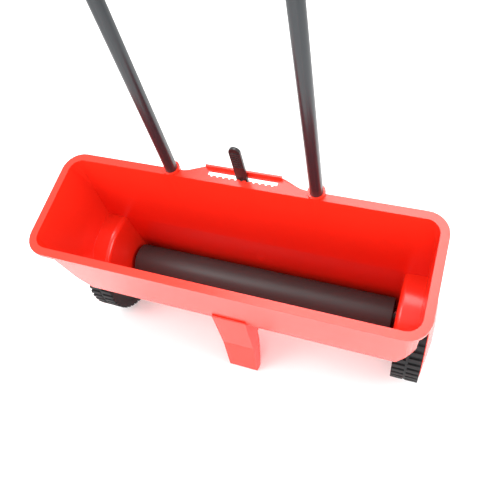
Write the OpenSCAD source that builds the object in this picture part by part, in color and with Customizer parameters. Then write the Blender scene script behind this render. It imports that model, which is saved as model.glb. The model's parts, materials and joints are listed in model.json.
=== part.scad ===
// Push seeder: a drop spreader with a long hopper, a metering roller on the wheel axle,
// a sliding metering plate worked by a lever, a front leg and a loop handle.
// It stands parked on both wheels and the leg: +X towards the wheel that drives the axle,
// +Y towards the person who pushes it, +Z up, and Z = 0 is the floor.

/* [Hopper] */
// Length of the rim over its lips
hopper_l = 620; // [560:1:760]
// Width of the rim over its lips
hopper_w = 188; // [180:1:230]
// Height of the rim above the axle
hopper_h = 263; // [240:1:330]
// How far the middle of the rim lies ahead of the axle
rim_ahead = 19.5; // [10:0.5:25]
// Wall thickness of the moulding
wall = 3; // [2.5:0.5:4]
// Width of the flat rim
rim_w = 12.6; // [10:0.1:18]
// Thickness of the flat rim
rim_t = 3; // [2:0.5:4]
// Depth of the turned-down lip
lip_h = 8; // [5:0.5:12]
// Radius of the rim's corners
rim_r = 34; // [26:1:45]
// Height above the axle where the front wall turns in
front_turn_h = 92; // [85:1:115]
// Height above the axle where the back wall steepens
back_turn_h = 113; // [95:1:130]
// Distance from the axle to the inner back wall at that height
back_turn_y = 41.5; // [38:0.5:52]
// Lean of the end walls from the rim down
end_lean_in = 3.4; // [1:0.1:8]
// Height above the axle where the end walls stop leaning
end_turn_h = 178; // [150:1:200]

/* [Stand] */
// Forward tilt of the hopper when it is parked on its leg
park_tilt = 15.1; // [12:0.1:18]
// Width of the leg's front face
leg_w = 58; // [50:1:80]
// Height above the axle of the leg's top edge
leg_top_h = 114; // [110:1:120]
// Distance ahead of the axle of the leg's crease
leg_crease_y = 122; // [118:1:130]
// Height above the axle of the leg's crease
leg_crease_h = 13; // [5:1:20]
// Distance ahead of the axle of the leg's toe
leg_toe_y = 144; // [138:1:160]
// Wall thickness of the leg
leg_wall = 3; // [2.5:0.5:4]

/* [Wheels] */
// Diameter of the wheels over the lugs
wheel_d = 204; // [190:1:240]
// Width of the tread
wheel_w = 45; // [36:1:60]
// Height of the lugs
lug_h = 3.5; // [2:0.5:5]
// Lugs around each row of the tread
lug_count = 48; // [24:2:54]
// Gap between the lugs and the wheel arch
arch_gap = 11; // [8:0.5:18]
// Gap between the hopper's side and the wheel
side_gap = 5; // [5:0.5:10]
// Diameter of the coloured wheel disc
disc_d = 172; // [150:1:176]

/* [Roller and axle] */
// Diameter of the metering roller
roller_d = 66; // [56:1:68]
// Length of the metering roller
roller_l = 500; // [440:1:500]
// Wall thickness of the roller tube
roller_wall = 2.5; // [2:0.5:4]
// Gap between the roller and the trough under it
trough_gap = 3; // [2:0.5:4]
// Gap between the roller's end and the hopper's side
roller_end_gap = 8; // [6:0.5:12]
// Diameter of the axle
axle_d = 10; // [8:0.5:12]

/* [Tubes and handle] */
// Outside diameter of the handle tubes
tube_d = 20; // [18:0.5:22]
// Wall thickness of the handle tubes
tube_wall = 1.2; // [1:0.1:2]
// Distance between the two tubes
tube_span = 236; // [224:1:270]
// Distance from the axle to the tubes, behind it, at the rim
tube_y = 73; // [70:0.5:76]
// Backward lean of the tubes from the hopper's upright
tube_lean = 6; // [4:0.5:7]
// Length of the lower tubes above the rim
tube_l = 400; // [360:5:560]
// Depth of the tube sockets
socket_depth = 120; // [90:1:140]
// Backward turn of the upper handle at its knuckles
handle_bend = 35; // [15:1:45]
// Straight length of the upper handle above its knuckles
handle_l = 300; // [200:5:400]
// Length of the grip
grip_l = 130; // [100:1:140]
// Diameter of the grip
grip_d = 31; // [26:1:36]

/* [Metering] */
// Width of the lever
lever_w = 18; // [14:0.5:22]
// Thickness of the lever
lever_t = 5; // [4:0.5:5.5]
// Height of the lever's top above the rim
lever_rise = 70; // [50:1:90]
// Height of the lever's pivot above the axle
pivot_h = 45; // [42:1:50]
// Distance from the pivot to the pin that moves the plate
lever_arm = 28; // [25:1:30]
// Swing of the lever to each side
lever_swing = 12; // [10:0.5:12]
// Distance behind the axle of the lever's pivot
pivot_y = 56.5; // [56:0.5:58]
// Length of the lever's slot in the scale plate
slot_l = 114; // [112:1:124]
// Width of the lever's slot
slot_w = 7; // [6.5:0.5:9]
// Distance from the axle to the middle of the slot
slot_y = 77.5; // [76:0.5:80]
// Number of notches along the slot
notch_count = 11; // [7:2:11]
// Number of discharge holes
hole_count = 10; // [6:2:10]
// Diameter of the discharge holes
hole_d = 10; // [7:0.5:11]
// Width of the metering plate
plate_w = 26; // [22:1:28]
// Thickness of the metering plate
plate_t = 1.5; // [1:0.1:2]

/* [Fits] */
// Radial clearance of a shaft turning in its bore
run_fit = 0.05; // [0.03:0.01:0.1]
// Clearance between pieces that are fixed together
seat_fit = 0.1; // [0.05:0.05:0.2]
// Clearance between flat pieces that slide
slide_fit = 0.3; // [0.2:0.05:0.5]

/* [Hidden] */
$fn = 64;
eps = 0.01;
big = 900;

red = [0.86, 0.07, 0.04];
charcoal = [0.16, 0.14, 0.14];
black = [0.06, 0.06, 0.065];
zinc = [0.68, 0.69, 0.70];
nylon = [0.85, 0.84, 0.80];

// places along X, out from the middle
wheel_r = wheel_d / 2;
side_in = roller_l / 2 + roller_end_gap;
side_out = side_in + wall;
boss_t = 1.5;
bush_flange_t = 1.5;
bush_end = side_out + boss_t + bush_flange_t;
washer_t = 1;
play = 0.2;
hub_in = bush_end + washer_t + 2 * play;
wheel_in = side_out + side_gap;
wheel_out = wheel_in + wheel_w;
hub_out = wheel_out - 2;
end_pin_x = hub_out + washer_t + 3;
roller_pin_x = roller_l / 2 + roller_end_gap / 2;
drive_pin_x = hub_in + 7;
axle_end = end_pin_x + 4;
disc_rise = 10;
disc_t = 2.5;

// round pieces on the axle
boss_r = 16;
bush_wall = 3;
bush_flange_w = 7;
collar_r = 14;
plug_l = 10;
hub_r = 17;
tread_t = 14;
tread_rib_w = 4;
spoke_count = 6;
spoke_t = 4;
pin_r = 2;
end_pin_r = 1.5;

// screws, bolts and nuts
leg_screw_r = 2.5;
leg_screw_head_r = 5;
leg_screw_drop = 48;
leg_lap = 2;
sole_l = 13;
nut_r = 5.6;
bolt_head_r = 7;
bolt_head_t = 3;

// the hopper's section, seen along the axle: y back, z up, axle at the origin
rim_mid = -rim_ahead;
front_y = rim_mid - hopper_w / 2 + rim_w - wall;
back_y = rim_mid + hopper_w / 2 - rim_w + wall;
front_turn_y = front_y + 1.5;
trough_in = roller_d / 2 + trough_gap;
trough_out = trough_in + wall;
turn_r = 30;
end_x = hopper_l / 2 - rim_w + wall;
end_low_x = end_x - end_lean_in;

// the pad under the trough that the metering plate slides on, turned back and down
pad_turn = -45;
pad_d = trough_out + 3;
pad_w = 46;
pad_l = 2 * side_out;
plate_d = pad_d + slide_fit;
plate_l = 0.98 * roller_l;
hole_pitch = plate_l / hole_count;
rail_w = 8;
rail_in = plate_w / 2 + slide_fit;
rail_lip = 3;
rail_lip_t = 1.6;
rail_notch = 40;
rail_screw_s = rail_in + rail_w / 2;
tab_w = 20;
rail_screw_r = 1.6;

// lever and its slot
notch_r = 2.4;
stop_wall_h = 7;
lever_lean = atan2(slot_y - pivot_y, hopper_h - pivot_h);
lever_top = (hopper_h - pivot_h) / cos(lever_lean) + lever_rise;
lever_tip_r = 6.5;
lever_hub_r = 11;
pivot_r = 3;
drive_pin_r = 2.5;
plate_travel = lever_arm * sin(lever_swing);
tab_back_y = pivot_y - lever_arm * sin(lever_lean) - lever_t / 2 - 2.9;

// tubes and handle
tube_r = tube_d / 2;
tube_in_r = tube_r - tube_wall;
sleeve_r = tube_r + seat_fit + 3.4;
bolt_r = 3;
bolt_hole_r = bolt_r + seat_fit;
socket_bolt_z = -socket_depth / 2;
knuckle_r = tube_r + 4;
knuckle_l = 44;
knuckle_rise = 9;
loop_r = 45;
brace_t = 3;
brace_w = 22;

// where the grip ends up, so that the middle of the whole stands over the origin
joint_y = tube_y + (tube_l + knuckle_rise) * sin(tube_lean);
joint_z = hopper_h + (tube_l + knuckle_rise) * cos(tube_lean);
reach = handle_l + loop_r;
grip_y = joint_y + reach * sin(tube_lean + handle_bend);
grip_z = joint_z + reach * cos(tube_lean + handle_bend);
rear_most = max(wheel_r, grip_y * cos(park_tilt) - grip_z * sin(park_tilt) + grip_d / 2);
front_most = (rim_mid - hopper_w / 2) * cos(park_tilt) - hopper_h * sin(park_tilt);
axle_y = -(rear_most + front_most) / 2;

function unit(v) = v / norm(v);
function polar(r, a) = [r * cos(a), r * sin(a)];
function arc(r, from, to, steps) =
    [for (i = [0 : steps]) polar(r, from + (to - from) * i / steps)];

// points that round the corner b between a and c
function rounded(a, b, c, r, steps) =
    let (u = unit(a - b))
    let (v = unit(c - b))
    let (half = acos(u * v) / 2)
    let (mid = b + unit(u + v) * r / sin(half))
    let (p = b + u * r / tan(half) - mid)
    let (q = b + v * r / tan(half) - mid)
    let (start = atan2(p[1], p[0]))
    let (turn = (atan2(q[1], q[0]) - start + 540) % 360 - 180)
    [for (i = [0 : steps]) mid + polar(r, start + turn * i / steps)];

// direction in which a line from p touches a circle of radius r around the origin
function touch(p, r, side) = atan2(p[1], p[0]) + side * acos(r / norm(p));

// the hopper's section, drawn t inside its outer face, up to height top
function back_turn(t) = [back_turn_y + wall - t, back_turn_h];
function front_turn(t) = [front_turn_y + t, front_turn_h];
function section(t, top) =
    let (r = trough_out - t)
    let (a = touch(back_turn(t), r, -1))
    let (b = touch(front_turn(t), r, 1))
    concat(
        [[back_y - t, hopper_h], back_turn(t)],
        arc(r, a, b - 360, 18),
        rounded(polar(r, b), front_turn(t), [front_y + t, hopper_h], turn_r - t, 6),
        [[front_y + t, hopper_h], [front_y + t, top], [back_y - t, top]]
    );

// outline of the hopper seen from the front
function front_outline(t, top) = [
    [end_x - t, top], [end_x - t, hopper_h], [end_low_x - t, end_turn_h],
    [end_low_x - t, -big / 2], [-end_low_x + t, -big / 2],
    [-end_low_x + t, end_turn_h], [-end_x + t, hopper_h], [-end_x + t, top]];

// height of the floor, in the hopper's own frame, y behind the axle
function floor_h(y) = -(wheel_r + y * sin(park_tilt)) / cos(park_tilt);

// a point of the pad's own frame (d out, s along it) in the hopper's section
function pad_point(d, s) = polar(d, pad_turn) + polar(s, pad_turn + 90);

module on_axle() {
    translate([0, axle_y, wheel_r]) children();
}

// the hopper's own frame: axle at the origin, upright of the hopper along Z
module parked() {
    on_axle() rotate([park_tilt, 0, 0]) children();
}

// frame of the tubes: at the rim, Z up along the tubes
module on_tubes() {
    parked() translate([0, tube_y, hopper_h]) rotate([-tube_lean, 0, 0]) children();
}

// frame of the lever: at its pivot, Z up along the lever
module on_lever() {
    parked() translate([0, pivot_y, pivot_h]) rotate([-lever_lean, 0, 0]) children();
}

// frame of the pad: at the axle, Z out through the pad, Y up along its width
module pad_frame() {
    rotate([pad_turn - 90, 0, 0]) mirror([0, 1, 0]) children();
}

module on_pad() {
    parked() pad_frame() children();
}

// a shape drawn in the section (y, z), made w wide along X about the middle
module across(w) {
    rotate([90, 0, 90]) linear_extrude(w, center = true) children();
}

// a rod along X from a to b
module rod(a, b, r) {
    translate([a, 0, 0]) rotate([0, 90, 0]) cylinder(h = b - a, r = r);
}

module ring(a, b, r_out, r_in) {
    difference() {
        rod(a, b, r_out);
        rod(a - 1, b + 1, r_in);
    }
}

// everything beyond a plane through p, on the side that n points to
module beyond(p, n) {
    translate(p) rotate([0, -asin(n[2] / norm(n)), atan2(n[1], n[0])])
        translate([0, -big / 2, -big / 2]) cube([big, big, big]);
}

// rim-shaped plate, its edge d inside the rim's own
module rim_plate(d, h) {
    r = max(rim_r - d, 5);
    a = hopper_l / 2 - d - r;
    b = hopper_w / 2 - d - r;
    translate([0, rim_mid, 0]) linear_extrude(h) polygon(concat(
        [for (p = arc(r, 0, 90, 8)) p + [a, b]],
        [for (p = arc(r, 90, 180, 8)) p + [-a, b]],
        [for (p = arc(r, 180, 270, 8)) p + [-a, -b]],
        [for (p = arc(r, 270, 360, 8)) p + [a, -b]]));
}

// the hopper as a filled shape, drawn t inside its outer face
module hopper_form(t, top) {
    plane_top = [end_low_x, front_y, end_turn_h];
    plane_in = [side_out + 1, front_y, front_turn_h - 25];
    plane_back = [end_low_x, front_y + 60, wheel_r + arch_gap - 3];
    n = cross(plane_in - plane_top, plane_back - plane_top);
    difference() {
        intersection() {
            across(big) polygon(section(t, top));
            rotate([90, 0, 0]) linear_extrude(big, center = true)
                polygon(front_outline(t, top));
            translate([0, 0, -big / 2]) rim_plate(rim_w - wall + t, big / 2 + top);
        }
        for (side = [0, 1]) {
            mirror([side, 0, 0]) {
                rod(side_out - t, big, wheel_r + arch_gap + t);
                translate([-t * norm(n) / n[0], 0, 0]) beyond(plane_top, n);
            }
        }
    }
}

module scale_plate() {
    edge = rim_mid + hopper_w / 2 - 2;
    rear = slot_y + slot_w / 2 + 8;
    a = [slot_l / 2 + 68, edge];
    b = [slot_l / 2 + 36, edge + 3];
    c = [slot_l / 2 + 5, rear];
    flare = concat([a], rounded(a, b, c, 40, 5), rounded(b, c, [0, rear], 40, 5));
    translate([0, 0, hopper_h - rim_t]) linear_extrude(rim_t) polygon(concat(
        flare, [for (i = [len(flare) - 1 : -1 : 0]) [-flare[i][0], flare[i][1]]]));
    translate([-slot_l / 2 - 5, rear - 4, hopper_h - eps])
        cube([slot_l + 10, 3, stop_wall_h]);
}

module slot_cut() {
    front = slot_y - slot_w / 2;
    translate([-slot_l / 2, front, hopper_h - 20]) cube([slot_l, slot_w, 40]);
    for (i = [0 : notch_count - 1]) {
        x = (i - (notch_count - 1) / 2) * slot_l / (notch_count + 0.5);
        translate([x, front, hopper_h - 20]) cylinder(h = 40, r = notch_r);
    }
    translate([-slot_l / 2 - 4, front - 5, hopper_h - rim_t - 30])
        cube([slot_l + 8, slot_w + 9, 30]);
}

module socket_sleeve() {
    difference() {
        translate([0, 0, -socket_depth - 3]) cylinder(h = socket_depth + 8, r = sleeve_r);
        translate([-sleeve_r - 1, -sleeve_r - 1, 3]) rotate([tube_lean, 0, 0])
            cube([2 * sleeve_r + 2, 2 * sleeve_r + 4, 12]);
    }
}

module discharge_holes(shift, r) {
    for (i = [0 : hole_count - 1]) {
        translate([(i - (hole_count - 1) / 2) * hole_pitch + shift, 0, trough_in - 4])
            cylinder(h = 20, r = r);
    }
}

// where the two leg screws go through the front slope: Z out of the hopper
module at_leg_screws() {
    b = touch(front_turn(0), trough_out, 1);
    foot = polar(trough_out, b);
    along = unit(front_turn(0) - foot);
    spot = foot + along * (norm(front_turn(0) - foot) - leg_screw_drop);
    for (x = [-leg_w / 4, leg_w / 4]) {
        translate([x, spot[0], spot[1]]) rotate([b - 90, 0, 0]) children();
    }
}

module hopper() {
    color(red) parked() difference() {
        union() {
            difference() {
                union() {
                    hopper_form(0, hopper_h);
                    across(pad_l) polygon([
                        pad_point(trough_in - 8, -pad_w / 2), pad_point(pad_d, -pad_w / 2),
                        pad_point(pad_d, pad_w / 2), pad_point(trough_in - 8, pad_w / 2)]);
                }
                hopper_form(wall, hopper_h + 1);
            }
            difference() {
                translate([0, 0, hopper_h - rim_t]) rim_plate(0, rim_t);
                translate([0, 0, hopper_h - rim_t - 1]) rim_plate(rim_w, rim_t + 2);
            }
            difference() {
                translate([0, 0, hopper_h - lip_h]) rim_plate(0, lip_h - rim_t + 1);
                translate([0, 0, hopper_h - lip_h - 1]) rim_plate(wall, lip_h + 2);
            }
            scale_plate();
            for (side = [0, 1]) {
                mirror([side, 0, 0]) {
                    rod(side_out - 1, side_out + boss_t, boss_r);
                    translate([tube_span / 2, tube_y, hopper_h])
                        rotate([-tube_lean, 0, 0]) socket_sleeve();
                }
            }
            translate([0, pivot_y, pivot_h]) rotate([90 - lever_lean, 0, 0])
                translate([0, 0, lever_t / 2 + slide_fit]) cylinder(h = 16, r = 9);
        }
        for (side = [0, 1]) {
            mirror([side, 0, 0]) {
                rod(side_in - 1, side_out + boss_t + 1, axle_d / 2 + bush_wall + seat_fit);
                translate([tube_span / 2, tube_y, hopper_h]) rotate([-tube_lean, 0, 0]) {
                    translate([0, 0, -socket_depth])
                        cylinder(h = socket_depth + 20, r = tube_r + seat_fit);
                    translate([-sleeve_r - 1, 0, socket_bolt_z])
                        rod(0, 2 * sleeve_r + 2, bolt_hole_r);
                }
            }
        }
        slot_cut();
        pad_frame() discharge_holes(0, hole_d / 2);
        translate([0, pivot_y, pivot_h]) rotate([90 - lever_lean, 0, 0])
            translate([0, 0, lever_t / 2]) cylinder(h = 11, r = pivot_r + seat_fit / 2);
        pad_frame() at_rail_screws() cylinder(h = 6, r = rail_screw_r, center = true);
        at_leg_screws() translate([0, 0, -8]) cylinder(h = 9, r = leg_screw_r + seat_fit);
    }
}

// the leg's side view, its top lapped on the hopper's front wall
module leg_form() {
    toe = [-leg_toe_y, floor_h(-leg_toe_y)];
    heel = [-leg_toe_y + sole_l, floor_h(-leg_toe_y + sole_l)];
    crease = [-leg_crease_y, leg_crease_h];
    peak = [front_y - leg_lap, leg_top_h];
    b = touch(front_turn(0), trough_out, 1);
    foot = polar(trough_out, b);
    along = unit(front_turn(0) - foot);
    saddle = foot + along * (norm(front_turn(0) - foot) - leg_screw_drop - 14);
    across(2 * leg_w) polygon(concat(
        [peak, crease],
        rounded(crease, toe, heel, 3, 3),
        rounded(toe, heel, heel + [9, 14], 5, 4),
        [heel + [18, 37], heel + [32, 74], saddle + [-22, -6], saddle + [2, 3],
         [front_y + 12, leg_top_h - 5]]));
}

module leg() {
    half = leg_w / 2;
    toe_edge = [half - 1.5, -leg_toe_y, floor_h(-leg_toe_y)];
    top_edge = [half + 1, front_y, leg_top_h];
    n = cross(top_edge - toe_edge, [4, 35, 0]);
    color(red) parked() difference() {
        leg_form();
        across(big) polygon(section(-seat_fit, hopper_h + 1));
        for (side = [0, 1]) {
            mirror([side, 0, 0]) beyond(toe_edge, n * sign(n[0]));
        }
        across(leg_w - 3 - 2 * leg_wall) polygon([
            [-leg_crease_y + leg_wall + 7, leg_crease_h + 38],
            [-leg_crease_y + leg_wall + 1, leg_crease_h],
            [-leg_toe_y + leg_wall + 3, floor_h(-leg_toe_y) + 6],
            [-leg_toe_y + 60, floor_h(-leg_toe_y) - 2],
            [-leg_crease_y + 55, leg_crease_h], [-leg_crease_y + 31, leg_crease_h + 28]]);
        at_leg_screws() translate([0, 0, -1]) cylinder(h = 9, r = leg_screw_r + seat_fit / 2);
    }
}

module leg_screws() {
    color(zinc) parked() at_leg_screws() {
        translate([0, 0, -wall - 2.6]) cylinder(h = 2.6, r = leg_screw_head_r);
        translate([0, 0, -wall - 0.1]) cylinder(h = wall + 8, r = leg_screw_r);
    }
}

module lower_tube(side) {
    color(charcoal) on_tubes() translate([side * tube_span / 2, 0, 0]) difference() {
        translate([0, 0, -socket_depth]) cylinder(h = socket_depth + tube_l, r = tube_r);
        translate([0, 0, -socket_depth - 1])
            cylinder(h = socket_depth + tube_l + 2, r = tube_in_r);
        translate([0, 0, socket_bolt_z]) rod(-20, 20, bolt_hole_r);
        translate([0, -20, tube_l - knuckle_l / 2]) rotate([-90, 0, 0])
            cylinder(h = 40, r = bolt_hole_r);
    }
}

module tube_left() {
    lower_tube(-1);
}

module tube_right() {
    lower_tube(1);
}

module socket_bolts() {
    color(zinc) on_tubes() for (side = [-1, 1]) {
        translate([side * tube_span / 2, 0, socket_bolt_z]) {
            rod(-sleeve_r - 8, sleeve_r + 1, bolt_r);
            rotate([0, 90, 0]) translate([0, 0, sleeve_r]) cylinder(h = 4, r = nut_r, $fn = 6);
        }
    }
}

module socket_nuts() {
    color(zinc) on_tubes() for (side = [-1, 1]) {
        translate([side * tube_span / 2 - sleeve_r - 5, 0, socket_bolt_z])
            rotate([0, 90, 0]) difference() {
                cylinder(h = 5, r = nut_r, $fn = 6);
                translate([0, 0, -1]) cylinder(h = 7, r = bolt_r + seat_fit / 2);
            }
    }
}

// a bend that starts upwards at the origin and curves towards +Y
module bend(radius, angle, r) {
    translate([0, radius, 0]) rotate([90, 0, -90])
        rotate_extrude(angle = angle) translate([radius, 0]) circle(r = r);
}

// frame of the upper handle: above the knuckles, turned back
module above_knuckle() {
    on_tubes() translate([0, 0, tube_l + knuckle_rise]) rotate([-handle_bend, 0, 0])
        children();
}

// where the knuckle bolts pass: the first pair low, the second pair high
module at_handle_bolts(side) {
    on_tubes() translate([side * tube_span / 2, 0, tube_l - knuckle_l / 2])
        rotate([-90, 0, 0]) children();
    above_knuckle() translate([side * tube_span / 2, 0, knuckle_rise + knuckle_l / 2])
        rotate([-90, 0, 0]) children();
}

// the upper handle's run as one bar of radius r
module handle_run(r) {
    for (side = [-1, 1]) {
        translate([side * tube_span / 2, 0, knuckle_rise]) {
            cylinder(h = handle_l - knuckle_rise, r = r);
            translate([0, 0, handle_l - knuckle_rise]) rotate([0, 0, side * 90])
                bend(loop_r, 90, r);
        }
    }
    translate([0, 0, handle_l + loop_r])
        rod(loop_r - tube_span / 2, tube_span / 2 - loop_r, r);
}

module handle() {
    color(charcoal) difference() {
        above_knuckle() difference() {
            handle_run(tube_r);
            handle_run(tube_in_r);
        }
        for (side = [-1, 1]) {
            at_handle_bolts(side) cylinder(h = 60, r = bolt_hole_r, center = true);
        }
    }
}

module knuckle(side) {
    color(black) difference() {
        union() {
            on_tubes() translate([side * tube_span / 2, 0, tube_l - knuckle_l])
                cylinder(h = knuckle_l + 5, r = knuckle_r);
            on_tubes() translate([side * tube_span / 2, 0, tube_l + knuckle_rise])
                sphere(r = knuckle_r + 1);
            above_knuckle() translate([side * tube_span / 2, 0, 0])
                cylinder(h = knuckle_rise + knuckle_l, r = knuckle_r);
        }
        on_tubes() translate([side * tube_span / 2, 0, tube_l - knuckle_l - 1])
            cylinder(h = knuckle_l + 1, r = tube_r + seat_fit);
        above_knuckle() translate([side * tube_span / 2, 0, knuckle_rise])
            cylinder(h = knuckle_l + 1, r = tube_r + seat_fit);
        at_handle_bolts(side) cylinder(h = 60, r = bolt_hole_r, center = true);
    }
}

module knuckle_left() {
    knuckle(-1);
}

module knuckle_right() {
    knuckle(1);
}

module grip() {
    color(black) above_knuckle() translate([0, 0, handle_l + loop_r])
        ring(-grip_l / 2, grip_l / 2, grip_d / 2, tube_r + seat_fit);
}

module cross_brace() {
    half = tube_span / 2;
    color(charcoal) on_tubes() translate([0, knuckle_r, tube_l - knuckle_l / 2])
        rotate([-90, 0, 0]) linear_extrude(brace_t) difference() {
            union() {
                square([tube_span, brace_w], center = true);
                for (side = [-1, 1]) {
                    translate([side * half, 0]) circle(r = brace_w / 2);
                }
            }
            for (side = [-1, 1]) {
                translate([side * half, 0]) circle(r = bolt_hole_r);
            }
        }
}

module handle_bolts() {
    color(zinc) for (side = [-1, 1]) {
        at_handle_bolts(side) {
            translate([0, 0, -knuckle_r - bolt_head_t])
                cylinder(h = bolt_head_t, r = bolt_head_r);
            translate([0, 0, -knuckle_r - 1])
                cylinder(h = 2 * knuckle_r + brace_t + 11, r = bolt_r);
        }
    }
}

module wing_nuts() {
    color(black) for (side = [-1, 1]) {
        at_handle_bolts(side) translate([0, 0, knuckle_r + brace_t]) difference() {
            union() {
                cylinder(h = 8, r = 7);
                rotate([90, 0, 0]) linear_extrude(4, center = true) polygon([
                    [-6, 1], [6, 1], [19, 9], [19, 15], [13, 16], [6, 8],
                    [-6, 8], [-13, 16], [-19, 15], [-19, 9]]);
            }
            translate([0, 0, -1]) cylinder(h = 20, r = bolt_r + seat_fit / 2);
        }
    }
}

module axle() {
    color(zinc) on_axle() difference() {
        rod(-axle_end, axle_end, axle_d / 2);
        for (side = [-1, 1]) {
            translate([side * roller_pin_x, 0, -10]) cylinder(h = 20, r = pin_r + seat_fit / 2);
            translate([side * end_pin_x, 0, -10]) cylinder(h = 20, r = end_pin_r + seat_fit / 2);
        }
        translate([drive_pin_x, 0, -10]) cylinder(h = 20, r = pin_r + seat_fit / 2);
    }
}

module roller() {
    color(charcoal) on_axle()
        ring(-roller_l / 2, roller_l / 2, roller_d / 2, roller_d / 2 - roller_wall);
}

module roller_cap(side) {
    plug_r = roller_d / 2 - roller_wall - seat_fit / 2;
    color(black) on_axle() mirror([side < 0 ? 1 : 0, 0, 0]) difference() {
        union() {
            rod(roller_l / 2 - plug_l, roller_l / 2, plug_r);
            rod(roller_l / 2 - plug_l, side_in - 0.5, collar_r);
        }
        rod(roller_l / 2 - plug_l - 1, side_in, axle_d / 2 + seat_fit / 2);
        translate([roller_pin_x, 0, -20]) cylinder(h = 40, r = pin_r + seat_fit / 2);
    }
}

module roller_cap_left() {
    roller_cap(-1);
}

module roller_cap_right() {
    roller_cap(1);
}

module roller_pins() {
    color(zinc) on_axle() for (side = [-1, 1]) {
        translate([side * roller_pin_x, 0, -collar_r]) cylinder(h = 2 * collar_r, r = pin_r);
    }
}

module bush(side) {
    color(nylon) on_axle() mirror([side < 0 ? 1 : 0, 0, 0]) difference() {
        union() {
            rod(side_in, side_out + boss_t + eps, axle_d / 2 + bush_wall);
            rod(side_out + boss_t, bush_end, axle_d / 2 + bush_flange_w);
        }
        rod(side_in - 1, bush_end + 1, axle_d / 2 + run_fit);
    }
}

module bush_left() {
    bush(-1);
}

module bush_right() {
    bush(1);
}

module thrust_washers() {
    color(zinc) on_axle() for (side = [0, 1]) {
        mirror([side, 0, 0])
            ring(bush_end + play, bush_end + play + washer_t, 10, axle_d / 2 + seat_fit / 2);
    }
}

// one half of the tread: a ring with lugs, turned by a share of the lug spacing
module tread(a, b, turn) {
    lug_w = 3.1416 * wheel_d / lug_count * 0.56;
    translate([a, 0, 0]) rotate([90, 0, 90]) linear_extrude(b - a) difference() {
        union() {
            circle(r = wheel_r - lug_h);
            intersection() {
                circle(r = wheel_r);
                union() {
                    for (i = [0 : lug_count - 1]) {
                        rotate(-90 + (i + turn) * 360 / lug_count)
                            translate([wheel_r - 12, -lug_w / 2]) square([20, lug_w]);
                    }
                }
            }
        }
        circle(r = wheel_r - tread_t);
    }
}

module wheel(side, bore_r) {
    rim_in = wheel_r - tread_t;
    rib = tread_rib_w / 2;
    mid = (wheel_in + wheel_out) / 2;
    color(black) on_axle() mirror([side < 0 ? 1 : 0, 0, 0]) difference() {
        union() {
            tread(wheel_in, mid - rib, 0);
            tread(mid + rib, wheel_out, 0.5);
            ring(mid - rib, mid + rib, wheel_r - 1, rim_in);
            rod(wheel_in + 1, wheel_in + 5, rim_in + 1);
            rod(hub_in, hub_out, hub_r);
            intersection() {
                rod(wheel_in + 4, wheel_out - 8, rim_in + 1);
                for (i = [0 : spoke_count - 1]) {
                    rotate([i * 360 / spoke_count, 0, 0])
                        translate([wheel_in, -spoke_t / 2, 0])
                        cube([wheel_w, spoke_t, wheel_r]);
                }
            }
        }
        rod(hub_in - 1, hub_out + 1, bore_r);
        if (side > 0) {
            translate([drive_pin_x, 0, -20]) cylinder(h = 40, r = pin_r + seat_fit / 2);
        }
    }
}

module wheel_left() {
    wheel(-1, axle_d / 2 + run_fit);
}

module wheel_right() {
    wheel(1, axle_d / 2 + seat_fit / 2);
}

module wheel_disc(side) {
    color(red) on_axle() mirror([side < 0 ? 1 : 0, 0, 0])
        translate([wheel_out, 0, 0]) rotate([0, 90, 0]) rotate_extrude() polygon([
            [0, disc_rise - disc_t], [30, disc_rise - disc_t], [disc_d / 2 - 8, 0],
            [disc_d / 2 + 5, 0], [disc_d / 2 + 5, 1.5], [disc_d / 2, disc_t],
            [32, disc_rise], [0, disc_rise]]);
}

module wheel_disc_left() {
    wheel_disc(-1);
}

module wheel_disc_right() {
    wheel_disc(1);
}

module end_washers() {
    color(zinc) on_axle() for (side = [0, 1]) {
        mirror([side, 0, 0])
            ring(hub_out + play, hub_out + play + washer_t, 9, axle_d / 2 + seat_fit / 2);
    }
}

module end_pins() {
    color(zinc) on_axle() for (side = [-1, 1]) {
        translate([side * end_pin_x, 0, -9]) cylinder(h = 18, r = end_pin_r);
    }
}

module drive_pin() {
    color(zinc) on_axle() translate([drive_pin_x, 0, -16]) cylinder(h = 32, r = pin_r);
}

module metering_plate() {
    edge = plate_w / 2;
    pin_z = pivot_h - lever_arm * cos(lever_lean) + 0.8;
    tab_in_y = tab_back_y - plate_t;
    s_in = (tab_in_y - polar(plate_d, pad_turn)[0]) / cos(pad_turn + 90);
    s_out = (tab_back_y - polar(plate_d + plate_t, pad_turn)[0]) / cos(pad_turn + 90);
    tab_top = pin_z + 9;
    color(zinc) difference() {
        union() {
            on_pad() translate([-plate_l / 2, -edge, plate_d]) cube([plate_l, plate_w, plate_t]);
            parked() across(tab_w) polygon([
                pad_point(plate_d, 0), pad_point(plate_d, s_in), [tab_in_y, tab_top],
                [tab_back_y, tab_top], pad_point(plate_d + plate_t, s_out),
                pad_point(plate_d + plate_t, 0)]);
        }
        on_pad() discharge_holes(-plate_travel, hole_d / 2);
        parked() translate([-drive_pin_r - 0.15, tab_in_y - 5, pin_z - 4.5])
            cube([2 * drive_pin_r + 0.3, 12, 9]);
    }
}

module rail(a, b, side) {
    color(zinc) on_pad() mirror([0, side < 0 ? 1 : 0, 0]) difference() {
        translate([a, rail_in - rail_lip, pad_d])
            cube([b - a, rail_w + rail_lip, plate_t + 2 * slide_fit + rail_lip_t]);
        translate([a - 1, rail_in - rail_lip - 1, pad_d - 1])
            cube([b - a + 2, rail_lip + 1, plate_t + 2 * slide_fit + 1]);
        mirror([0, side < 0 ? 1 : 0, 0]) at_rail_screws()
            cylinder(h = 30, r = rail_screw_r + seat_fit / 2);
    }
}

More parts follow.
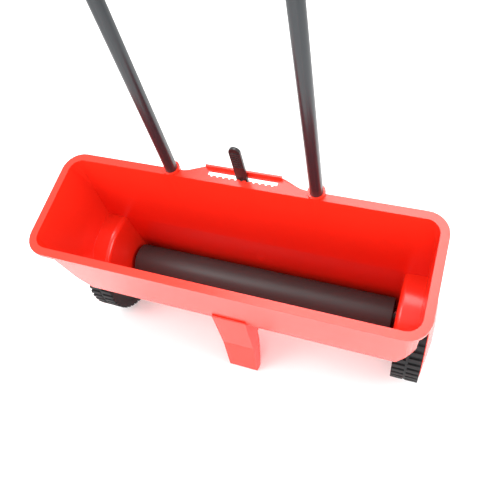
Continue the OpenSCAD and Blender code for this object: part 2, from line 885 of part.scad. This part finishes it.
// the rails' screws: five along the lower rail, two pairs along the upper ones
module at_rail_screws() {
    reach_x = plate_l / 2 - 14;
    for (i = [-2 : 2]) {
        translate([i * reach_x / 2, -rail_screw_s, pad_d]) children();
    }
    for (i = [-2, -1, 1, 2]) {
        translate([i * reach_x / 2, rail_screw_s, pad_d]) children();
    }
}

module rail_lower() {
    rail(-plate_l / 2, plate_l / 2, -1);
}

module rail_upper_left() {
    rail(-plate_l / 2, -rail_notch / 2, 1);
}

module rail_upper_right() {
    rail(rail_notch / 2, plate_l / 2, 1);
}

module rail_screws() {
    color(zinc) on_pad() at_rail_screws() {
        translate([0, 0, -2.9]) cylinder(h = 8, r = rail_screw_r - eps);
        translate([0, 0, plate_t + 2 * slide_fit + rail_lip_t]) cylinder(h = 2, r = 3);
    }
}

module lever() {
    tip = lever_w / 2;
    rib_h = 0.8;
    color(black) on_lever() difference() {
        union() {
            rotate([90, 0, 0]) linear_extrude(lever_t, center = true) polygon(concat(
                [for (p = arc(tip, 0, 180, 16)) p + [0, lever_top - tip]],
                [[-tip, lever_arm]],
                [for (p = arc(lever_tip_r, 180, 360, 12)) p - [0, lever_arm]],
                [[tip, lever_arm]]));
            rotate([90, 0, 0]) cylinder(h = lever_t, r = lever_hub_r, center = true);
            translate([0, -lever_t / 2 + 1, -lever_arm]) rotate([90, 0, 0])
                cylinder(h = 7, r = drive_pin_r);
            for (i = [0 : 6]) {
                translate([-tip + 2, -lever_t / 2 - rib_h, lever_top - 12 - i * 5])
                    cube([lever_w - 4, rib_h + 1, 2]);
            }
        }
        rotate([90, 0, 0]) cylinder(h = 20, r = pivot_r + run_fit, center = true);
    }
}

module lever_bolt() {
    color(zinc) on_lever() rotate([90, 0, 0]) {
        translate([0, 0, -lever_t / 2 - 1.3]) cylinder(h = lever_t + 10, r = pivot_r);
        translate([0, 0, -lever_t / 2 - 5.3]) cylinder(h = 4, r = nut_r, $fn = 6);
    }
}

module lever_washer() {
    color(zinc) on_lever() rotate([90, 0, 0]) difference() {
        translate([0, 0, -lever_t / 2 - 1.3]) cylinder(h = 1, r = 7);
        translate([0, 0, -lever_t / 2 - 3]) cylinder(h = 4, r = pivot_r + seat_fit / 2);
    }
}

hopper();
leg();
leg_screws();
tube_left();
tube_right();
socket_bolts();
socket_nuts();
knuckle_left();
knuckle_right();
handle();
grip();
cross_brace();
handle_bolts();
wing_nuts();
axle();
roller();
roller_cap_left();
roller_cap_right();
roller_pins();
bush_left();
bush_right();
thrust_washers();
wheel_left();
wheel_right();
wheel_disc_left();
wheel_disc_right();
end_washers();
end_pins();
drive_pin();
metering_plate();
rail_lower();
rail_upper_left();
rail_upper_right();
rail_screws();
lever();
lever_bolt();
lever_washer();
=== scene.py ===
import bpy
import bmesh
import math
from mathutils import Euler, Matrix, Vector
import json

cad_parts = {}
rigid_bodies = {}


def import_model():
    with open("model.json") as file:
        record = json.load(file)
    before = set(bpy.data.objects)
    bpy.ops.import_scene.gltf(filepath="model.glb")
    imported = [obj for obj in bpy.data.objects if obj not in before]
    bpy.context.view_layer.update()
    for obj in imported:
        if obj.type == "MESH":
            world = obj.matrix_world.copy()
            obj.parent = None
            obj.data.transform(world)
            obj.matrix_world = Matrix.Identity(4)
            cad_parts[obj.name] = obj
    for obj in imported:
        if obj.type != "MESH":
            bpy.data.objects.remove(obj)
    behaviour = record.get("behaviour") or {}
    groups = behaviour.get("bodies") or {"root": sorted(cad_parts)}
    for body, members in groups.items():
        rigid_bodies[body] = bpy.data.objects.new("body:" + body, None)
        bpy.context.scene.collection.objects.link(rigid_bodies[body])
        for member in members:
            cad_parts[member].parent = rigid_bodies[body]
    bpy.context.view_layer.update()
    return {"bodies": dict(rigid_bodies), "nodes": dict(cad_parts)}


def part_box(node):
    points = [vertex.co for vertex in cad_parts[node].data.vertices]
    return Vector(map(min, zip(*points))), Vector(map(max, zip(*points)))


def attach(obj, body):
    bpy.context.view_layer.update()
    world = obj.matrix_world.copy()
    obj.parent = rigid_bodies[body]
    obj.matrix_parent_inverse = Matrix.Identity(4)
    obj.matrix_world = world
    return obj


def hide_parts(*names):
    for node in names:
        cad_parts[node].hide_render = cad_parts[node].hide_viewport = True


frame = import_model()
MM = 0.001


# ---- Camera, light and floor -------------------------------------------------------------
# A small product stage: a pale flat floor under a wide soft sky. A large soft box overhead
# brightens the flat rims, and one on the right draws the edges of the dark tubes.
scene = bpy.context.scene
scene.view_settings.view_transform = "Standard"

camera_place = (0.2843, -0.51637, 0.95432)
camera_turn = (39.517, 6.561, 19.735)
camera_data = bpy.data.cameras.new("camera")
camera_data.lens = 40.02
camera_data.sensor_width = 36.0
camera = bpy.data.objects.new("camera", camera_data)
camera.location = camera_place
camera.rotation_euler = Euler([math.radians(a) for a in camera_turn], "XYZ")
scene.collection.objects.link(camera)
scene.camera = camera


def soft_box(name, place, aim, size, power):
    """A round soft light of this width in metres and power in watts, turned to its aim."""
    data = bpy.data.lights.new(name, "AREA")
    data.shape = "DISK"
    data.size = size
    data.energy = power
    light = bpy.data.objects.new(name, data)
    light.location = place
    light.rotation_euler = (Vector(place) - Vector(aim)).to_track_quat("Z", "Y").to_euler()
    scene.collection.objects.link(light)


soft_box("overhead_light", place=(-0.1, 0.45, 2.4), aim=(0, 0, 0.3), size=1.6, power=36)
soft_box("key_light", place=(-1.5, -1.3, 2.7), aim=(0, 0, 0.3), size=1.5, power=34)
soft_box("edge_light", place=(2.1, -0.3, 1.6), aim=(0, 0, 0.4), size=0.9, power=20)
soft_box("front_light", place=(0.2, -2.4, 0.7), aim=(0, 0, 0.2), size=1.4, power=23)

sky_power = 1.15
sky = bpy.data.worlds.new("sky")
sky.use_nodes = True
sky.node_tree.nodes["Background"].inputs["Color"].default_value = (1, 1, 1, 1)
sky.node_tree.nodes["Background"].inputs["Strength"].default_value = sky_power
scene.world = sky

floor_half = 6
floor_pale = (0.93, 0.93, 0.93, 1)
floor_glow = (0.9, 1, 1, 1)
floor_sheet = bmesh.new()
bmesh.ops.create_grid(floor_sheet, x_segments=1, y_segments=1, size=floor_half)
floor_mesh = bpy.data.meshes.new("floor")
floor_sheet.to_mesh(floor_mesh)
floor_sheet.free()
floor = bpy.data.objects.new("floor", floor_mesh)
scene.collection.objects.link(floor)
floor_paint = bpy.data.materials.new("floor_paint")
floor_paint.use_nodes = True
floor_shader = floor_paint.node_tree.nodes["Principled BSDF"]
floor_shader.inputs["Base Color"].default_value = floor_pale
floor_shader.inputs["Roughness"].default_value = 0.8
floor_shader.inputs["Emission Color"].default_value = floor_glow
floor_shader.inputs["Emission Strength"].default_value = 0.10
floor_mesh.materials.append(floor_paint)


# ---- Hopper ------------------------------------------------------------------------------
# One injection moulding in red polypropylene with a fine spark-eroded grain. The rim, the
# wheel arches, the tube sleeves and the pad under the trough all come out of the one mould.
def finish(name, pale, deep, roughness, grain=900, relief=0.00002, patch=9, metal=0.0,
           coat=0.0, sheen_level=0.5):
    """A material whose colour drifts between two tones, with uneven gloss and a fine grain."""
    gloss_drift = 0.03
    material = bpy.data.materials.new(name)
    material.use_nodes = True
    nodes = material.node_tree.nodes
    links = material.node_tree.links
    shader = nodes["Principled BSDF"]
    shader.inputs["Metallic"].default_value = metal
    shader.inputs["Specular IOR Level"].default_value = sheen_level
    shader.inputs["Coat Weight"].default_value = coat
    shader.inputs["Coat Roughness"].default_value = 0.18
    where = nodes.new("ShaderNodeTexCoord")

    drift = nodes.new("ShaderNodeTexNoise")
    drift.inputs["Scale"].default_value = patch
    drift.inputs["Detail"].default_value = 4
    links.new(where.outputs["Object"], drift.inputs["Vector"])
    tone = nodes.new("ShaderNodeMix")
    tone.data_type = "RGBA"
    tone.inputs["A"].default_value = (*pale, 1)
    tone.inputs["B"].default_value = (*deep, 1)
    links.new(drift.outputs["Fac"], tone.inputs["Factor"])
    links.new(tone.outputs["Result"], shader.inputs["Base Color"])

    speck = nodes.new("ShaderNodeTexNoise")
    speck.inputs["Scale"].default_value = grain
    speck.inputs["Detail"].default_value = 3
    links.new(where.outputs["Object"], speck.inputs["Vector"])
    gloss = nodes.new("ShaderNodeMapRange")
    gloss.inputs["To Min"].default_value = roughness - gloss_drift
    gloss.inputs["To Max"].default_value = roughness + gloss_drift
    links.new(speck.outputs["Fac"], gloss.inputs["Value"])
    links.new(gloss.outputs["Result"], shader.inputs["Roughness"])
    bump = nodes.new("ShaderNodeBump")
    bump.inputs["Strength"].default_value = 0.5
    bump.inputs["Distance"].default_value = relief
    links.new(speck.outputs["Fac"], bump.inputs["Height"])
    links.new(bump.outputs["Normal"], shader.inputs["Normal"])
    return material


red_plastic = finish("red_plastic", (0.86, 0.030, 0.012), (0.79, 0.023, 0.009), 0.23)


def body_of_node(node):
    """The name of the body that this CAD node rides on."""
    empty = frame["nodes"][node].parent
    return next(name for name, body in frame["bodies"].items() if body == empty)


def merged(node, near, own_frame=Matrix.Identity(4)):
    """A new object and the node's shape in that frame, with doubles merged and flats joined."""
    flat_turn = math.radians(0.5)
    piece = bpy.data.objects.new(node + "_made", frame["nodes"][node].data.copy())
    scene.collection.objects.link(piece)
    shape = bmesh.new()
    shape.from_mesh(piece.data)
    bmesh.ops.transform(shape, matrix=own_frame.inverted(), verts=shape.verts)
    bmesh.ops.remove_doubles(shape, verts=shape.verts, dist=near)
    bmesh.ops.dissolve_limit(shape, angle_limit=flat_turn, verts=shape.verts,
                             edges=shape.edges)
    return piece, shape


def corners(shape, least, test=lambda p: True):
    """The edges that turn by at least this much and have both ends where the test says."""
    return [e for e in shape.edges if len(e.link_faces) == 2
            and e.calc_face_angle(0) > least and all(test(v.co) for v in e.verts)]


def fillet(shape, edges, size, steps):
    """Rounds these edges, if there are any, as far as their neighbours leave room."""
    if edges:
        bmesh.ops.bevel(shape, geom=edges, offset=size, affect="EDGES", segments=steps,
                        offset_type="OFFSET", profile=0.5, material=-1, clamp_overlap=True)


def settle(piece, shape, node, material, crisp=32, own_frame=Matrix.Identity(4)):
    """Puts the shape back in place, gives it its finish, and fixes it to the node's body."""
    bmesh.ops.transform(shape, matrix=own_frame, verts=shape.verts)
    shape.to_mesh(piece.data)
    shape.free()
    piece.data.materials.clear()
    piece.data.materials.append(material)
    piece.data.shade_smooth()
    piece.data.set_sharp_from_angle(angle=math.radians(crisp))
    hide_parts(node)
    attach(piece, body_of_node(node))


def eased(node, material, width, segments=3, corner=28):
    """The CAD piece again with its edges rounded by this width."""
    piece, shape = merged(node, 2e-6)
    fillet(shape, corners(shape, math.radians(corner)), width, segments)
    settle(piece, shape, node, material)


def shade_by_area(piece):
    """Lets the large faces set the shading, so that a small fillet doesn't bend it."""
    even = piece.modifiers.new("even_shading", "WEIGHTED_NORMAL")
    even.keep_sharp = True


# the hopper's own frame: axle at the origin, y back, z up along the hopper
axle_low, axle_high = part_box("axle")
park_tilt = math.radians(15.1)
parked = Matrix.Translation((axle_low + axle_high) / 2) @ Matrix.Rotation(park_tilt, 4, "X")
rim_top = 263 * MM
side_x = 258 * MM
arch_r = 116 * MM
arch_round = 9 * MM
arch_end_round = 5 * MM
rim_round = 1.4 * MM
front_corner_round = 9 * MM
slot_y = 77.5 * MM
slot_half_l = 63 * MM
slot_half_w = 16 * MM
square_turn = 0.9
blunt_turn = 0.5
slight_turn = 0.45


def on_arch(p):
    return abs(math.hypot(p.y, p.z) - arch_r) < 0.4 * MM


def on_arch_face(p):
    return on_arch(p) and abs(abs(p.x) - side_x) < 0.3 * MM


def past_arch_face(p):
    return on_arch(p) and abs(p.x) > side_x + arch_round + 0.5 * MM


def on_rim(p):
    in_slot = abs(p.x) < slot_half_l and abs(p.y - slot_y) < slot_half_w
    return abs(p.z - rim_top) < 0.02 * MM and not in_slot


def on_front_corner(p):
    return abs(p.x) > 255 * MM and p.y < -95 * MM and 60 * MM < p.z < 150 * MM


hopper, shape = merged("hopper", 3e-6, parked)
fillet(shape, corners(shape, square_turn, on_arch_face), arch_round, 6)
fillet(shape, corners(shape, blunt_turn, past_arch_face), arch_end_round, 4)
fillet(shape, corners(shape, square_turn, on_rim), rim_round, 4)
front_corners = [e for e in corners(shape, slight_turn, on_front_corner) if e.is_convex]
fillet(shape, front_corners, front_corner_round, 6)
settle(hopper, shape, "hopper", red_plastic, own_frame=parked)
shade_by_area(hopper)


# ---- Leg ---------------------------------------------------------------------------------
# A hollow red foot moulded on its own and held under the hopper's front slope by two
# screws. It has a crease across its face and a rounded toe that stands on the floor.
leg_top_h = 114 * MM
leg_front_y = -104.5 * MM
leg_top_round = 2.6 * MM
leg_edge_round = 0.9 * MM
edge_turn = 0.6
crease_h = 13 * MM
crease_turn = 0.05
crease_round = 1.2 * MM
crease_deep = 1.1 * MM
screw_round = 0.4 * MM


def on_leg_top(p):
    return abs(p.z - leg_top_h) < 0.1 * MM and p.y < leg_front_y


def below_leg_top(p):
    return p.z < leg_top_h - 2 * MM


def on_crease(p):
    return abs(p.z - crease_h) < 0.1 * MM and p.y < leg_front_y - 15 * MM


leg, shape = merged("leg", 2e-6, parked)
fillet(shape, corners(shape, square_turn, on_leg_top), leg_top_round, 5)
fillet(shape, corners(shape, edge_turn, below_leg_top), leg_edge_round, 3)
fillet(shape, corners(shape, crease_turn, on_crease), crease_round, 2)
for v in shape.verts:
    if on_crease(v.co):
        v.co.y += crease_deep
settle(leg, shape, "leg", red_plastic, crisp=20, own_frame=parked)
shade_by_area(leg)
bright_zinc = finish("bright_zinc", (0.66, 0.67, 0.68), (0.52, 0.53, 0.55), 0.34,
                     grain=500, relief=0.00003, patch=40, metal=1.0)
eased("leg_screws", bright_zinc, screw_round)


# ---- Roller, axle and bushes -------------------------------------------------------------
# A charcoal tube of matt moulded plastic on a plain steel axle. Black end caps pin it to
# the axle, which turns in nylon bushes pressed into the hopper's sides.
roller_grey = finish("roller_grey", (0.052, 0.052, 0.052), (0.038, 0.038, 0.038), 0.47,
                     grain=700, relief=0.00006, patch=14)
cap_black = finish("cap_black", (0.018, 0.017, 0.018), (0.010, 0.010, 0.011), 0.42)
nylon_white = finish("nylon_white", (0.80, 0.79, 0.74), (0.72, 0.71, 0.66), 0.45)
roller_round = 0.8 * MM
axle_round = 0.5 * MM
bush_round = 0.3 * MM
pin_round = 0.15 * MM
eased("roller", roller_grey, roller_round)
eased("roller_cap_left", cap_black, roller_round)
eased("roller_cap_right", cap_black, roller_round)
eased("axle", bright_zinc, axle_round)
for node in ("roller_pins", "thrust_washers", "end_washers", "end_pins", "drive_pin"):
    eased(node, bright_zinc, pin_round)
for node in ("bush_left", "bush_right"):
    eased(node, nylon_white, bush_round)


# ---- Wheels ------------------------------------------------------------------------------
# Hard black plastic wheels moulded in one piece, with two staggered rows of lugs and a
# rib between them. A red disc with a raised middle snaps into the outer face of each.
tread_black = finish("tread_black", (0.012, 0.012, 0.013), (0.007, 0.007, 0.008), 0.62,
                     grain=600, relief=0.00008, patch=20, sheen_level=0.3)
lug_round = 0.7 * MM
disc_round = 0.9 * MM
for node in ("wheel_left", "wheel_right"):
    eased(node, tread_black, lug_round, segments=2)
for node in ("wheel_disc_left", "wheel_disc_right"):
    eased(node, red_plastic, disc_round, corner=12)


# ---- Tubes, knuckles and handle ----------------------------------------------------------
# Thin steel tube, powder coated near black. The lower pair stand in the hopper's sleeves,
# and black moulded knuckles turn the upper loop back towards the hands.
tube_dark = finish("tube_brown", (0.014, 0.018, 0.022), (0.010, 0.013, 0.016), 0.30,
                   grain=420, relief=0.00008, patch=12, coat=0.15)
rubber = finish("rubber", (0.020, 0.020, 0.020), (0.012, 0.012, 0.012), 0.72, grain=380,
                relief=0.0002)
tube_end_round = 0.3 * MM
brace_round = 0.6 * MM
knuckle_round = 1.2 * MM
grip_round = 2.5 * MM
bolt_round = 0.4 * MM
wing_round = 1.0 * MM
for node in ("tube_left", "tube_right", "handle"):
    eased(node, tube_dark, tube_end_round, segments=2)
eased("cross_brace", tube_dark, brace_round)
for node in ("knuckle_left", "knuckle_right"):
    eased(node, cap_black, knuckle_round)
eased("grip", rubber, grip_round, segments=4)
for node in ("socket_bolts", "socket_nuts", "handle_bolts"):
    eased(node, bright_zinc, bolt_round)
eased("wing_nuts", cap_black, wing_round)


# ---- Metering plate, rails and lever -----------------------------------------------------
# A zinc-plated strip slides in folded rails under the trough and opens or shuts its holes.
# The black lever in the scale plate's slot turns on a bolt and shifts it by its pin.
lever_black = finish("lever_black", (0.016, 0.012, 0.013), (0.010, 0.008, 0.009), 0.28)
sheet_round = 0.2 * MM
lever_round = 0.25 * MM
for node in ("metering_plate", "rail_lower", "rail_upper_left", "rail_upper_right",
             "rail_screws", "lever_bolt", "lever_washer"):
    eased(node, bright_zinc, sheet_round, segments=2)
eased("lever", lever_black, lever_round)
